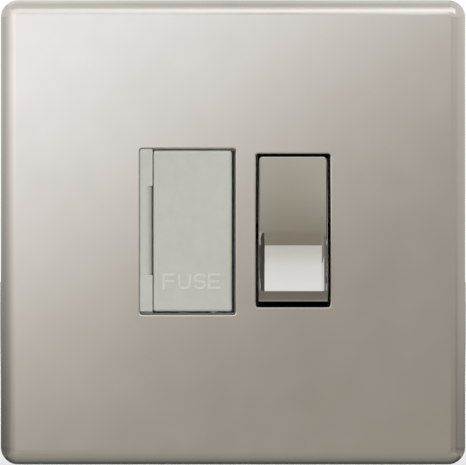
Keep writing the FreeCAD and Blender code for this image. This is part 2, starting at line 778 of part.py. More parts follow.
def scoop_tool():
    """The thumb scoop's cutter: almost level with the flat, then hollowed up to the lip."""
    level = size("pivot_y - rocker_flat")
    sink = size("scoop_sink")
    z0 = size("rocker_z")
    start = FreeCAD.Vector(0, level - sink, z0 - size("rail_start - scoop_over"))
    knee = FreeCAD.Vector(0, level + sink, z0 - size("scoop_start"))
    lip = FreeCAD.Vector(0, size("pivot_y - rocker_lip + lip_drop"), z0 - lip_height())
    chord = lip - knee
    across = FreeCAD.Vector(0, chord.z, -chord.y).normalize()
    sagitta = size("dish_r") - math.sqrt(size("dish_r") ** 2 - (chord.Length / 2) ** 2)
    hollow = Part.Arc(knee, (knee + lip) * 0.5 - across * sagitta, lip).toShape()
    beyond = lip + chord * 0.3
    front = size("pivot_y - 2 * rocker_lip")
    corners = [lip, beyond, FreeCAD.Vector(0, front, beyond.z), FreeCAD.Vector(0, front, start.z),
               start, knee]
    sides = [Part.makeLine(p, q) for p, q in zip(corners, corners[1:])]
    half = size("rocker_w / 2 + scoop_over")
    face = Part.Face(Part.Wire([hollow] + sides))
    face.translate(FreeCAD.Vector(size("rocker_x") - half, 0, 0))
    block = face.extrude(FreeCAD.Vector(2 * half, 0, 0))
    low_edges = [edge for edge in block.Edges
                 if near(edge.BoundBox.XLength, 0) and not along(edge, "Y") and edge.BoundBox.YMax < level + 1
                 and edge.BoundBox.YMin > front + 1]
    item = doc.addObject("Part::Feature", "thumb_scoop")
    item.Shape = block.makeFillet(size("scoop_side_r"), low_edges)
    return item


def rocker_cap():
    """The plated shell, with rounded upper corners, eased front edges and the thumb scoop."""
    middle = FreeCAD.Vector(size("rocker_x"), 0, size("rocker_z"))
    flat = size("pivot_y - rocker_flat")
    side = size("rocker_w / 2")
    inner = size("rail_knee + 1")
    cornered = rounded("cap_cornered", rocker_form("cap_outer", "0", "rail_rise"), "rocker_corner_r",
                       lambda edge: near(abs(edge.CenterOfMass.x - middle.x), side)
                       and edge.CenterOfMass.z > middle.z + inner and edge.BoundBox.YMax > flat + 1
                       and not along(edge, "Y") and not along(edge, "Z"))
    eased = rounded("cap_eased", cornered, "rocker_edge_r",
                    lambda edge: edge.BoundBox.YMax < flat + 0.01
                    and not (along(edge, "X") and abs(edge.CenterOfMass.z - middle.z) < inner))
    pin_holes = rod("cap_pin_holes", "X", "trunnion_r", around("rocker_x", "rocker_w"),
                    ("pivot_y", "rocker_z"))
    scooped = cut("cap_scooped", eased, scoop_tool())
    shell = cut("cap_shell", scooped, rocker_form("cap_inner", "rocker_skin", "core_rise"), pin_holes)
    node("rocker_cap", turned_rocker(shell))


def rocker():
    rocker_cap()
    axis = ("pivot_y", "rocker_z")
    pieces = [rocker_form("core", "rocker_skin", "core_rise"),
              rod("trunnions", "X", "trunnion_r", around("rocker_x", "rocker_w / 2 + trunnion_length"), axis)]
    bores = []
    for pole, sign in POLES:
        x = f"rocker_x + {sign} * pole_pitch / 2"
        pieces.append(rod(f"barrel_{pole}", "Y", "barrel_r", ("pivot_y", "pivot_y + barrel_reach"),
                          (x, "rocker_z")))
        bores.append(rod(f"barrel_{pole}_bore", "Y", "plunger_r + play / 2",
                         ("pivot_y + barrel_start", "pivot_y + barrel_reach + 1"), (x, "rocker_z")))
    node("rocker_core", turned_rocker(cut("core_cut", fused("core_block", *pieces), *bores)))
    for pole, sign in POLES:
        x = f"rocker_x + {sign} * pole_pitch / 2"
        shaft = rod(f"plunger_{pole}_shaft", "Y", "plunger_r",
                    ("pivot_y + plunger_reach - plunger_tail", "pivot_y + plunger_reach"), (x, "rocker_z"))
        tip = doc.addObject("Part::Sphere", f"plunger_{pole}_tip")
        bind(tip, Radius="plunger_r", Placement__Base__x=x, Placement__Base__y="pivot_y + plunger_reach",
             Placement__Base__z="rocker_z")
        node(f"plunger_{pole}", turned_rocker(fused(f"plunger_{pole}_whole", shaft, tip)))
        node(f"plunger_spring_{pole}", turned_rocker(coil(f"spring_{pole}", x)))


def coil(name, x):
    """A compression spring from the barrel's end to the plunger's tail."""
    wire = size("spring_wire / 2")
    radius = size("plunger_r - spring_wire / 2 - play / 2")
    start = size("pivot_y + barrel_start + spring_wire / 2 + coil_play")
    end = size("pivot_y + plunger_reach - plunger_tail - spring_wire / 2 - coil_play")
    length = end - start
    helix = Part.makeHelix(length / size("spring_turns"), length, radius)
    profile = Part.Wire(Part.makeCircle(wire, FreeCAD.Vector(radius, 0, 0), FreeCAD.Vector(0, 1, 0)))
    solid = Part.Wire(helix).makePipeShell([profile], True, True)
    solid.rotate(FreeCAD.Vector(), FreeCAD.Vector(1, 0, 0), -90)
    solid.translate(FreeCAD.Vector(size(x), start, size("rocker_z")))
    item = doc.addObject("Part::Feature", name)
    item.Shape = solid
    return item


# See-saw contacts and what they close on

def switch_contacts():
    tips = []
    z_mid = "rocker_z + tip_offset"
    for pole, sign in POLES:
        x = f"rocker_x + {sign} * pole_pitch / 2"
        wide = around(x, "seesaw_w / 2")
        arm = box(f"arm_{pole}", wide, ("seesaw_face", "fulcrum_depth"),
                  around("rocker_z", "seesaw_length / 2"))
        groove = rod(f"arm_{pole}_groove", "X", "fulcrum_r + groove_play", around(x, "seesaw_w"),
                     ("fulcrum_depth", "rocker_z"))
        tip = rod(f"arm_{pole}_tip", "Y", "tip_r", ("fulcrum_depth - play", "fulcrum_depth + tip_thick"),
                  (x, z_mid))
        blade = fused(f"arm_{pole}_whole", cut(f"arm_{pole}_cut", arm, groove), tip)
        node(f"moving_contact_{pole}", at_angle(blade, "rocker_angle", "fulcrum_depth", "rocker_z"))
        bead = rod(f"bead_{pole}", "X", "fulcrum_r", wide, ("fulcrum_depth", "rocker_z"))
        post = box(f"post_{pole}", wide, ("fulcrum_depth", "base_back"),
                   around("rocker_z", "contact_sheet / 2"))
        node(f"fulcrum_{pole}", fused(f"fulcrum_{pole}_whole", bead, post))
        front = "fulcrum_depth + tip_thick + contact_gap"
        tips.append(rod(f"fixed_tip_{pole}", "Y", "tip_r", (front, f"{front} + tip_thick"), (x, z_mid)))
        shelf = f"{front} + tip_thick + contact_sheet / 2"
        points = [(shelf, f"{z_mid} - contact_tail"), (shelf, f"{z_mid} + contact_rise"),
                  ("link_y", f"{z_mid} + contact_rise"), ("link_y", "terminal_in")]
        node(f"supply_contact_{pole}", strip(f"supply_strip_{pole}", points, "contact_sheet", "X", *wide))
    group("contact_tips", tips)


# Leaf contacts that press on the fuse caps from behind

def fuse_contacts():
    rear = "base_back - contact_sheet / 2"
    points = [("fuse_x + leaf_flat + leaf_curl", "leaf_y + leaf_lift"), ("fuse_x + leaf_flat", "leaf_y"),
              ("fuse_x - leaf_flat", "leaf_y"), ("fuse_x - leaf_reach", "leaf_y + leaf_drop"),
              ("fuse_x - leaf_reach", rear), ("fuse_x + 2 * leaf_flat", rear)]
    for name, sign in ENDS:
        middle = f"fuse_window_z + {sign} * leaf_middle"
        node(f"fuse_contact_{name}", strip(f"fuse_leaf_{name}", points, "contact_sheet", "Z",
                                           f"{middle} - contact_w / 2", f"{middle} + contact_w / 2"))


# Rear housing with the chambers for the working parts

TERMINALS = (
    ("earth_upper", "earth_x", 1),
    ("supply_line", "supply_x", 1),
    ("supply_neutral", "neutral_x", 1),
    ("earth_lower", "earth_x", -1),
    ("load_line", "load_line_x", -1),
    ("load_neutral", "neutral_x", -1),
)


def base_housing():
    blank = box("base_block", around("0", "body_w / 2"), ("flange_thick", "base_depth"),
                around("0", "body_h / 2"))
    edged = rounded("base_edges", blank, "base_edge_r", lambda edge: along(edge, "Y"))
    rear = size("base_depth")
    block = rounded("base_rim", edged, "base_rim_r", lambda edge: in_plane(edge, "Y", rear))
    rooms = working_rooms() + terminal_rooms() + link_ways() + rear_cells()
    node("base_housing", cut("base_cut", block, *rooms))


def working_rooms():
    """The fuse's room, the rocker's room, the slot for its barrels and the switch room behind it."""
    tall = around("rocker_z", "room_half")
    rooms = [
        box("fuse_room", ("room_left", "frame_right - 2 * play"), ("flange_thick - 1", "base_back"),
            around("fuse_window_z", "frame_half")),
        box("rocker_room", ("rocker_left", "rocker_right"), ("flange_thick - 1", "partition_y"), tall),
        box("barrel_slot", around("rocker_x", "slot_reach"),
            ("partition_y - 1", "partition_y + partition_thick + 1"), around("rocker_z", "slot_half_h")),
        box("switch_room", ("rocker_left + play", "rocker_right - play"),
            ("partition_y + partition_thick", "base_back"), tall),
    ]
    for i, (x, z) in enumerate(CORNERS):
        rooms.append(rod(f"boss_hole_{i}", "Y", "corner_screw_r + play / 2",
                         ("flange_thick - 1", "boss_end + play"), corner_place(x, z)))
    return rooms


def terminal_rooms():
    """Chambers open to the rear, wire ways to the edge and the earth straps' ways."""
    rooms = []
    for name, x, sign in TERMINALS:
        rooms.append(box(f"chamber_{name}", around(x, "terminal_w / 2 + play"),
                         ("terminal_front - play", "base_depth + 1"),
                         span(sign, "terminal_in - play", "terminal_out + play")))
        rooms.append(rod(f"wire_way_{name}", "Z", "wire_bore_r + wire_way_play",
                         span(sign, "terminal_out", "body_h / 2 + 1"), (x, "bore_y")))
    for name, sign in ENDS:
        rooms.append(box(f"base_strap_way_{name}", STRAP_ROOM, ("flange_thick - 1", "terminal_front"),
                         span(sign, "strap_z - strap_sheet", "strap_z + strap_sheet")))
        rooms.append(box(f"base_strap_end_{name}", STRAP_ROOM,
                         ("terminal_front - strap_sheet - play", "terminal_front"),
                         span(sign, "strap_z - strap_sheet", "terminal_out - strap_stop + strap_room")))
    return rooms


def link_ways():
    """Shallow ways on the floor for the supply contacts and the brass links."""
    deep = ("way_front", "base_back")
    ways = []
    for pole, sign in POLES:
        x = f"rocker_x + {sign} * pole_pitch / 2"
        ways.append(box(f"supply_way_{pole}", around(x, "seesaw_w / 2 + play"), deep,
                        ("rocker_z", "terminal_in")))
    ways.append(box("line_link_way", ("fuse_x", "rocker_x"), deep, ("link_low - play", "link_high + play")))
    ways.append(box("load_way", around("load_line_x", "link_w / 2 + play"), deep, ("-terminal_in", "0")))
    ways.append(box("neutral_way", ("neutral_left - play", "neutral_left + seesaw_w + play"), deep,
                    ("-terminal_in", "0")))
    return ways


def rear_cells():
    """Lightening cells moulded in the rear, with a rib between each two."""
    deep = ("cell_front", "base_depth + 1")
    cells = []
    for side, wide in (("left", ("-cell_out", "room_left - base_wall")),
                       ("right", ("rocker_right + base_wall", "cell_out"))):
        for i in range(CELLS):
            pitch = f"(2 * cell_half_h + cell_rib) / {CELLS}"
            low = f"-cell_half_h + {i} * {pitch}"
            cells.append(box(f"cell_{side}_{i}", wide, deep, (low, f"{low} + {pitch} - cell_rib")))
    top = span(1, "fuse_window_z + frame_half + base_wall", "terminal_out")
    low = span(-1, "-fuse_window_z + frame_half + base_wall", "terminal_out")
    beside = "terminal_w / 2 + base_wall"
    middle = "(earth_x + supply_x) / 2"
    for name, wide, high in (
        ("upper_left", (f"earth_x + {beside}", f"{middle} - cell_rib / 2"), top),
        ("upper_right", (f"{middle} + cell_rib / 2", f"supply_x - ({beside})"), top),
        ("lower_left", (f"load_line_x + {beside}", "cell_split - cell_rib / 2"), low),
        ("lower_right", ("cell_split + cell_rib / 2", f"neutral_x - ({beside})"), low),
    ):
        cells.append(box(f"cell_{name}", wide, deep, high))
    return cells


def terminals():
    screws = []
    for name, x, sign in TERMINALS:
        block = box(f"block_{name}", around(x, "terminal_w / 2"), ("terminal_front", "base_back"),
                    span(sign, "terminal_in", "terminal_out"))
        bore = rod(f"wire_bore_{name}", "Z", "wire_bore_r", span(sign, "terminal_in - 1", "terminal_out + 1"),
                   (x, "bore_y"))
        z = f"{sign} * (terminal_in + terminal_h / 2)"
        hole = rod(f"screw_hole_{name}", "Y", "clamp_screw_r + play / 2", ("bore_y", "base_depth"), (x, z))
        node(f"terminal_{name}", cut(f"terminal_cut_{name}", block, bore, hole))
        shank = rod(f"clamp_{name}_shank", "Y", "clamp_screw_r",
                    ("bore_y + wire_bore_r + clamp_gap", "base_depth - clamp_gap"), (x, z))
        slot = box(f"clamp_{name}_slot", around(x, "clamp_screw_r + 1"),
                   ("base_depth - clamp_gap - clamp_slot_depth", "base_depth"), around(z, "clamp_slot_w / 2"))
        screws.append(cut(f"clamp_{name}", shank, slot))
    group("terminal_screws", screws)


# Brass links on the base's floor, and the earth straps with their rivets

def links():
    floor = ("link_front", "base_back")
    toe_z = around("rocker_z", "link_toe_h / 2")
    drop_x = ("line_left - link_gap - link_drop_w", "line_left - link_gap")
    run = box("line_run", ("fuse_x + 2 * leaf_flat", drop_x[1]), floor, ("link_low", "link_high"))
    drop = box("line_drop", drop_x, floor, (toe_z[0], "link_high"))
    toe = box("line_toe", (drop_x[0], "line_left"), floor, toe_z)
    node("line_link", fused("line_link_whole", run, drop, toe))
    node("load_link", box("load_strip", around("load_line_x", "link_w / 2"), floor,
                          ("-terminal_in", "fuse_window_z - leaf_middle - contact_w / 2")))
    node("neutral_link", box("neutral_strip", ("neutral_left", "neutral_left + seesaw_w"), floor,
                             ("-terminal_in", "rocker_z - contact_sheet / 2")))


def earth_straps():
    rivets = []
    wide = around("earth_x", "strap_w / 2")
    for name, sign in ENDS:
        points = [("strap_sheet / 2", f"{sign} * (rivet_z + rivet_head_r + strap_margin)"),
                  ("strap_sheet / 2", f"{sign} * strap_z"), ("strap_rear", f"{sign} * strap_z"),
                  ("strap_rear", f"{sign} * (terminal_out - strap_stop)")]
        band = strip(f"strap_{name}_band", points, "strap_sheet", "X", *wide)
        place = ("earth_x", f"{sign} * rivet_z")
        hole = rod(f"strap_{name}_hole", "Y", "rivet_r", ("-1", "strap_sheet + 1"), place)
        node(f"earth_strap_{name}", cut(f"strap_{name}_cut", band, hole))
        shank = rod(f"rivet_{name}_shank", "Y", "rivet_r",
                    ("-yoke_sheet - play", "strap_sheet + play"), place)
        front = rod(f"rivet_{name}_front", "Y", "rivet_head_r",
                    ("-yoke_sheet - rivet_head_h", "-yoke_sheet"), place)
        rear = rod(f"rivet_{name}_rear", "Y", "rivet_head_r",
                   ("strap_sheet", "strap_sheet + rivet_head_h"), place)
        rivets.append(fused(f"rivet_{name}", shank, front, rear))
    group("earth_rivets", rivets)


front_plate()
plate_clip_frame()
yoke()
yoke_screws()
front_housing()
fuse_frame()
fuse_carrier()
cartridge_fuse()
rocker()
switch_contacts()
fuse_contacts()
base_housing()
terminals()
links()
earth_straps()
doc.recompute()

# Every object is checked before anything is written

for item in doc.Objects:
    if "Invalid" in item.State or "Error" in item.State:
        raise RuntimeError(f"{item.Name} failed: {item.State}")
for name, item in NODES:
    if item.Shape.isNull() or not item.Shape.isValid():
        raise RuntimeError(f"{name} has no valid shape")

os.makedirs("parts", exist_ok=True)
for name, item in NODES:
    item.Shape.exportStep(f"parts/{name}.step")
    print(f"{name:28s} solids {len(item.Shape.Solids)}  volume {item.Shape.Volume:10.2f}")
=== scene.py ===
"""Looks of the fused spur unit: finishes, raised lettering, studio light and the straight-on camera."""
import json
import math

import bmesh
import bpy
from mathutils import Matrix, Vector

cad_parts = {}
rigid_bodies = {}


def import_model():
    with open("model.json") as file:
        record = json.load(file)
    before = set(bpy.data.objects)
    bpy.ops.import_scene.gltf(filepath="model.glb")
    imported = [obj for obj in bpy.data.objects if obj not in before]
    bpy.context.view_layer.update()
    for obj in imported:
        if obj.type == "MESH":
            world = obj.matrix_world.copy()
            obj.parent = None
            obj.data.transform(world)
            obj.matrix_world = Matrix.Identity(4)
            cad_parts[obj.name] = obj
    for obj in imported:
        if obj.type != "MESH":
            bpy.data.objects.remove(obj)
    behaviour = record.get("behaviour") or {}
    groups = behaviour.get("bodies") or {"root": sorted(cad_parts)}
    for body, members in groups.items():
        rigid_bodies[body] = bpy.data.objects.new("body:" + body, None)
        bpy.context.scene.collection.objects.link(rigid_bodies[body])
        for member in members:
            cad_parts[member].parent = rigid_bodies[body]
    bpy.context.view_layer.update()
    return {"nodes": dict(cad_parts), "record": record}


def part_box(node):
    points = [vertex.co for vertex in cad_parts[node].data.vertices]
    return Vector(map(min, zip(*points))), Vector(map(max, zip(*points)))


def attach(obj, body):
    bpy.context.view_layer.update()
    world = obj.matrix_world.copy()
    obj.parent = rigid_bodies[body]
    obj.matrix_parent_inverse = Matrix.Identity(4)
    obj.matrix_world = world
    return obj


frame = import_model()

MM = 0.001

# The photograph: the plate takes up 464 of its 466 pixels

PLATE_LOW, PLATE_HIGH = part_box("front_plate")
PLATE_PX = 464.0
PLATE_CENTRE_PX = (233.0, 232.3)
IMAGE_W = 466.0
IMAGE_CENTRE_PX = (233.0, 232.5)
PIXEL = (PLATE_HIGH.x - PLATE_LOW.x) / PLATE_PX

# The camera: straight in front, with its frame set by the plate's outline, which lies behind its face

CAMERA_AWAY = 0.9
OUTLINE_BEHIND_FACE = 3.3 * MM
SENSOR_W = 36.0
NEAREST_SEEN = 0.01

# Shader helpers

# Noise mostly stays between these two values
NOISE_LOW = 0.3
NOISE_HIGH = 0.7

# A seed moves the noise along this direction
SEED_WAY = (1.0, 0.7, 1.3)

# A Mix node has several sockets of each name, so its colour sockets go by number
MIX_DARK = 6
MIX_LIGHT = 7
MIX_RESULT = 2


def srgb(red, green, blue):
    """Linear colour of an 8-bit display colour."""
    def linear(level):
        level /= 255.0
        return level / 12.92 if level <= 0.04045 else ((level + 0.055) / 1.055) ** 2.4
    return (linear(red), linear(green), linear(blue), 1.0)


def scaled(colour, factor):
    """The colour made darker or lighter by a factor."""
    return tuple(min(1.0, level * factor) for level in colour[:3]) + (1.0,)


class Shader:
    """A material with a Principled shader and a few ways of adding detail to it."""

    def __init__(self, name, colour, roughness, metallic=0.0, **sockets):
        self.colour = colour
        self.roughness = roughness
        self.material = bpy.data.materials.new(name)
        self.material.use_nodes = True
        self.nodes = self.material.node_tree.nodes
        self.links = self.material.node_tree.links
        self.main = self.nodes["Principled BSDF"]
        self.main.inputs["Base Color"].default_value = colour
        self.main.inputs["Roughness"].default_value = roughness
        self.main.inputs["Metallic"].default_value = metallic
        for socket, value in sockets.items():
            self.main.inputs[socket.replace("_", " ")].default_value = value
        self.place = self.nodes.new("ShaderNodeTexCoord").outputs["Object"]
        self.relief = None

    def noise(self, size, detail=3.0, stretch=(1, 1, 1), seed=0.0):
        """Noise whose features are about size metres, stretched by the factors."""
        mapping = self.nodes.new("ShaderNodeMapping")
        mapping.inputs["Scale"].default_value = [1.0 / (size * factor) for factor in stretch]
        mapping.inputs["Location"].default_value = [seed * share for share in SEED_WAY]
        texture = self.nodes.new("ShaderNodeTexNoise")
        texture.inputs["Scale"].default_value = 1.0
        texture.inputs["Detail"].default_value = detail
        self.links.new(self.place, mapping.inputs["Vector"])
        self.links.new(mapping.outputs["Vector"], texture.inputs["Vector"])
        return texture.outputs["Fac"]

    def spread(self, source, low, high):
        """The noise's usual range moved to low and high."""
        ramp = self.nodes.new("ShaderNodeMapRange")
        ramp.inputs["From Min"].default_value = NOISE_LOW
        ramp.inputs["From Max"].default_value = NOISE_HIGH
        ramp.inputs["To Min"].default_value = low
        ramp.inputs["To Max"].default_value = high
        self.links.new(source, ramp.inputs["Value"])
        return ramp.outputs["Result"]

    def vary_roughness(self, source, less, more):
        """Roughness that wanders from less below its own value to more above it."""
        low = self.roughness - less
        high = self.roughness + more
        self.links.new(self.spread(source, low, high), self.main.inputs["Roughness"])

    def vary_colour(self, source, dark, light):
        """Colour that wanders between two shares of itself."""
        mix = self.nodes.new("ShaderNodeMix")
        mix.data_type = "RGBA"
        mix.inputs[MIX_DARK].default_value = scaled(self.colour, dark)
        mix.inputs[MIX_LIGHT].default_value = scaled(self.colour, light)
        self.links.new(self.spread(source, 0.0, 1.0), mix.inputs["Factor"])
        self.links.new(mix.outputs[MIX_RESULT], self.main.inputs["Base Color"])

    def bump(self, source, height, strength=1.0):
        """Relief whose full height is in metres; a second call adds to the first."""
        node = self.nodes.new("ShaderNodeBump")
        node.inputs["Strength"].default_value = strength
        node.inputs["Distance"].default_value = height
        self.links.new(source, node.inputs["Height"])
        if self.relief:
            self.links.new(self.relief, node.inputs["Normal"])
        self.relief = node.outputs["Normal"]
        self.links.new(self.relief, self.main.inputs["Normal"])


# Finishes


def polished_metal(name, colour, roughness, smear=0.03):
    """Polished plate: faint polishing marks and a slow wander in gloss."""
    shader = Shader(name, colour, roughness, metallic=1.0)
    shader.vary_roughness(shader.noise(9 * MM, detail=4.0, seed=3.1), less=0.0, more=smear)
    shader.vary_colour(shader.noise(5 * MM, detail=5.0, seed=1.7), dark=0.985, light=1.01)
    shader.bump(shader.noise(0.5 * MM, detail=2.0, seed=5.3), height=0.0006 * MM, strength=0.5)
    return shader.material


def moulded_plastic(name, colour, roughness, grain=0.22 * MM):
    """Moulded plastic with the fine grain of its tool and a slight wander in shade."""
    shader = Shader(name, colour, roughness, Specular_IOR_Level=0.4)
    shader.vary_colour(shader.noise(1.6 * MM, detail=5.0, seed=2.3), dark=0.97, light=1.02)
    shader.vary_roughness(shader.noise(0.6 * MM, detail=3.0, seed=8.1), less=0.04, more=0.05)
    shader.bump(shader.noise(grain, detail=2.0, seed=4.4), height=0.004 * MM)
    return shader.material


def rolled_metal(name, colour, roughness, way=(1, 1, 12)):
    """Sheet metal with the drawn lines of rolling along one direction."""
    shader = Shader(name, colour, roughness, metallic=1.0)
    lines = shader.noise(0.25 * MM, detail=4.0, stretch=way, seed=6.2)
    shader.vary_roughness(lines, less=0.06, more=0.1)
    shader.vary_colour(shader.noise(3 * MM, detail=5.0, seed=9.4), dark=0.92, light=1.04)
    shader.bump(lines, height=0.003 * MM)
    return shader.material


def spangled_zinc(name, colour, roughness, crystal=2.2 * MM):
    """Zinc plating: faint crystals over sheet steel, each with its own shade and gloss."""
    shader = Shader(name, colour, roughness, metallic=1.0)
    cells = shader.nodes.new("ShaderNodeTexVoronoi")
    cells.inputs["Scale"].default_value = 1.0 / crystal
    shader.links.new(shader.place, cells.inputs["Vector"])
    tone = shader.nodes.new("ShaderNodeSeparateColor")
    shader.links.new(cells.outputs["Color"], tone.inputs["Color"])
    shader.vary_colour(tone.outputs["Red"], dark=0.86, light=1.05)
    shader.vary_roughness(tone.outputs["Green"], less=0.08, more=0.08)
    shader.bump(shader.noise(0.4 * MM, detail=3.0, seed=2.9), height=0.002 * MM)
    return shader.material


def glazed_tube(name, colour, roughness):
    """The fuse's glazed tube, with the slight waves of its glaze."""
    shader = Shader(name, colour, roughness, Coat_Weight=0.5)
    shader.vary_colour(shader.noise(1.2 * MM, detail=6.0, seed=7.7), dark=0.96, light=1.03)
    shader.bump(shader.noise(0.8 * MM, detail=2.0, seed=1.1), height=0.003 * MM)
    return shader.material


# Each slot of the record: how its finish is made, its colour, its roughness and what is its own
FINISHES = {
    "polished_nickel": (polished_metal, (0.80, 0.757, 0.705, 1.0), 0.13, {}),
    "rocker_nickel": (polished_metal, (0.605, 0.59, 0.565, 1.0), 0.05, {"smear": 0.015}),
    "pale_grey_plastic": (moulded_plastic, srgb(190, 190, 182), 0.36, {}),
    "black_plastic": (moulded_plastic, srgb(27, 31, 16), 0.5, {"grain": 0.4 * MM}),
    "white_plastic": (moulded_plastic, srgb(225, 224, 216), 0.4, {"grain": 0.4 * MM}),
    "zinc_steel": (spangled_zinc, (0.66, 0.67, 0.68, 1.0), 0.38, {}),
    "screw_steel": (rolled_metal, (0.68, 0.67, 0.62, 1.0), 0.3, {"way": (1, 8, 1)}),
    "spring_steel": (rolled_metal, (0.55, 0.55, 0.56, 1.0), 0.28, {}),
    "brass": (rolled_metal, (0.80, 0.60, 0.26, 1.0), 0.27, {}),
    "tinned_copper": (rolled_metal, (0.80, 0.52, 0.34, 1.0), 0.28, {}),
    "silver": (rolled_metal, (0.83, 0.82, 0.79, 1.0), 0.22, {"way": (1, 1, 1)}),
    "fuse_ceramic": (glazed_tube, srgb(232, 226, 209), 0.22, {}),
    "cap_metal": (rolled_metal, (0.76, 0.75, 0.72, 1.0), 0.2, {"way": (1, 1, 1)}),
}


def dress_frame():
    """Give each CAD node the material of the slot that the record names for it."""
    materials = {}
    for slot, (finish, colour, roughness, own) in FINISHES.items():
        materials[slot] = finish(slot, colour, roughness, **own)
    slots = {row["node"]: row["material_slot"] for row in frame["record"]["subparts"]}
    for name, item in frame["nodes"].items():
        material = materials[slots[name]]
        if not item.material_slots:
            item.data.materials.append(material)
        for place in item.material_slots:
            place.material = material


# Raised letters on the door: each letter's left and right side are pixels of the photograph

LETTERS_PX = {"F": (162.7, 176.5), "U": (178.0, 191.5), "S": (193.5, 206.5), "E": (208.0, 221.2)}
LETTER_TOP_PX = 273.2
LETTER_FOOT_PX = 289.6
# The letters' colour is lighter than the door's plastic: a painted highlight for the light that falls on
# their raised strokes
LETTER_PAINTED_HIGHLIGHT = srgb(204, 204, 197)
LETTER_ROUGHNESS = 0.33
LETTER_STROKE = 0.58 * MM
LETTER_RISE = 0.09 * MM
LETTER_SINK = 0.02 * MM

# Shares of half a stroke's width: its flat top, and how far it goes past its last point
CROWN_SHARE = 0.45
END_SHARE = 0.6

# The middle bar of F and E: where it starts, in strokes, how long it is, as a share of the
# letter's width, and how much lower than the letter it stands, as a share of the rise
BAR_START = 0.3
BAR_SHARE = {"F": 0.85, "E": 0.88}
BAR_LOWER = 0.04

# The corner radius of U as a share of its height, and the angles at which the ends of S stop
BEND_SHARE = 0.28
S_START = 30
S_END = 210

# A ridge widens at a corner by one over the cosine of half the turn, taken as no less than this
LEAST_COSINE = 0.5

# Points closer to each other than this give a line no direction
SAME_POINT = 1e-9


def photo_x(px):
    """Where a column of the photograph lies across the plate."""
    return (px - PLATE_CENTRE_PX[0]) * PIXEL


def photo_z(px):
    """Where a row of the photograph lies up the plate."""
    return (PLATE_CENTRE_PX[1] - px) * PIXEL


def arc(cx, cz, radius, start, end, steps=10):
    """Points on part of a circle, angles in degrees from +X towards +Z."""
    angles = [math.radians(start + (end - start) * i / steps) for i in range(steps + 1)]
    return [(cx + radius * math.cos(a), cz + radius * math.sin(a)) for a in angles]


def letter_strokes(letter, width, height):
    """Middle lines of a plain letter in a box with its corner at (0, 0)."""
    if letter in BAR_SHARE:
        spine = [(width, height), (0, height), (0, 0)]
        if letter == "E":
            spine.append((width, 0))
        bar = [(LETTER_STROKE * BAR_START, height / 2), (width * BAR_SHARE[letter], height / 2)]
        return [spine, bar]
    if letter == "U":
        bend = BEND_SHARE * height
        left_corner = arc(bend, bend, bend, 180, 270)
        right_corner = arc(width - bend, bend, bend, 270, 360)
        return [[(0, height)] + left_corner + right_corner + [(width, height)]]
    bowl = height / 4
    upper = arc(width - bowl, height - bowl, bowl, S_START, 90) + arc(bowl, height - bowl, bowl, 90, 270)
    lower = arc(width - bowl, bowl, bowl, 90, -90) + arc(bowl, bowl, bowl, 270, S_END)
    return [upper + lower]


def stroke_mesh(mesh, line, face_y, rise):
    """A flat-topped ridge with sloping sides along the line, standing out from the face."""
    half = LETTER_STROKE / 2
    crown = half * CROWN_SHARE
    section = ((-half, LETTER_SINK), (-crown, -rise), (crown, -rise), (half, LETTER_SINK))
    rings = []
    for i, point in enumerate(line):
        before = Vector(line[max(i - 1, 0)])
        after = Vector(line[min(i + 1, len(line) - 1)])
        here = Vector(point)
        ways = [way.normalized() for way in (here - before, after - here) if way.length > SAME_POINT]
        along = sum(ways, Vector((0, 0))).normalized()
        across = Vector((-along.y, along.x))
        stretch = 1.0 / max(LEAST_COSINE, abs(ways[0].dot(along)))
        if i == 0:
            here = here - along * half * END_SHARE
        if i == len(line) - 1:
            here = here + along * half * END_SHARE
        ring = []
        for reach, depth in section:
            spot = here + across * reach * stretch
            ring.append(mesh.verts.new((spot.x, face_y + depth, spot.y)))
        rings.append(ring)
    for a, b in zip(rings, rings[1:]):
        for i in range(3):
            mesh.faces.new((a[i], a[i + 1], b[i + 1], b[i]))
        mesh.faces.new((a[3], a[0], b[0], b[3]))
    mesh.faces.new(rings[0][::-1])
    mesh.faces.new(rings[-1])


def raised_letters():
    """The generic word on the door, which rides on the carrier."""
    door_low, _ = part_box("fuse_carrier")
    foot = photo_z(LETTER_FOOT_PX) + LETTER_STROKE / 2
    height = photo_z(LETTER_TOP_PX) - LETTER_STROKE / 2 - foot
    mesh = bmesh.new()
    for letter, (left_px, right_px) in LETTERS_PX.items():
        left = photo_x(left_px) + LETTER_STROKE / 2
        width = photo_x(right_px) - LETTER_STROKE / 2 - left
        for i, line in enumerate(letter_strokes(letter, width, height)):
            placed = [(left + x, foot + z) for x, z in line]
            stroke_mesh(mesh, placed, door_low.y, LETTER_RISE * (1 - BAR_LOWER * i))
    bmesh.ops.recalc_face_normals(mesh, faces=mesh.faces)
    data = bpy.data.meshes.new("door_lettering")
    mesh.to_mesh(data)
    mesh.free()
    item = bpy.data.objects.new("door_lettering", data)
    bpy.context.scene.collection.objects.link(item)
    # The letters get their own lighter material, a painted highlight on the raised strokes
    data.materials.append(moulded_plastic("letters_painted_highlight", LETTER_PAINTED_HIGHLIGHT, LETTER_ROUGHNESS))
    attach(item, "carrier")


# The studio: a pale floor, and a room of glowing cards that only reflections see

FLOOR_BELOW_PLATE = 7 * MM
FLOOR_HALF = 4.0
FLOOR_COLOUR = (0.86, 0.86, 0.86, 1.0)
FLOOR_ROUGHNESS = 0.7

# The room's walls, and the edges of its cards: the front cards face the plate at CARD_AWAY, the
# band is above the middle one, the wings are beside it, and the brow slopes up to the ceiling
CARD_AWAY = -1.0
FRONT_HALF = 0.13
FRONT_TOP = 0.15
BAND_TOP = 0.50
WING_SPLIT = 0.2
BROW_REAR = -0.52
ROOM_HALF = 0.9
ROOM_TOP = 1.0
ROOM_FLOOR = -0.7
ROOM_REAR = 2.6

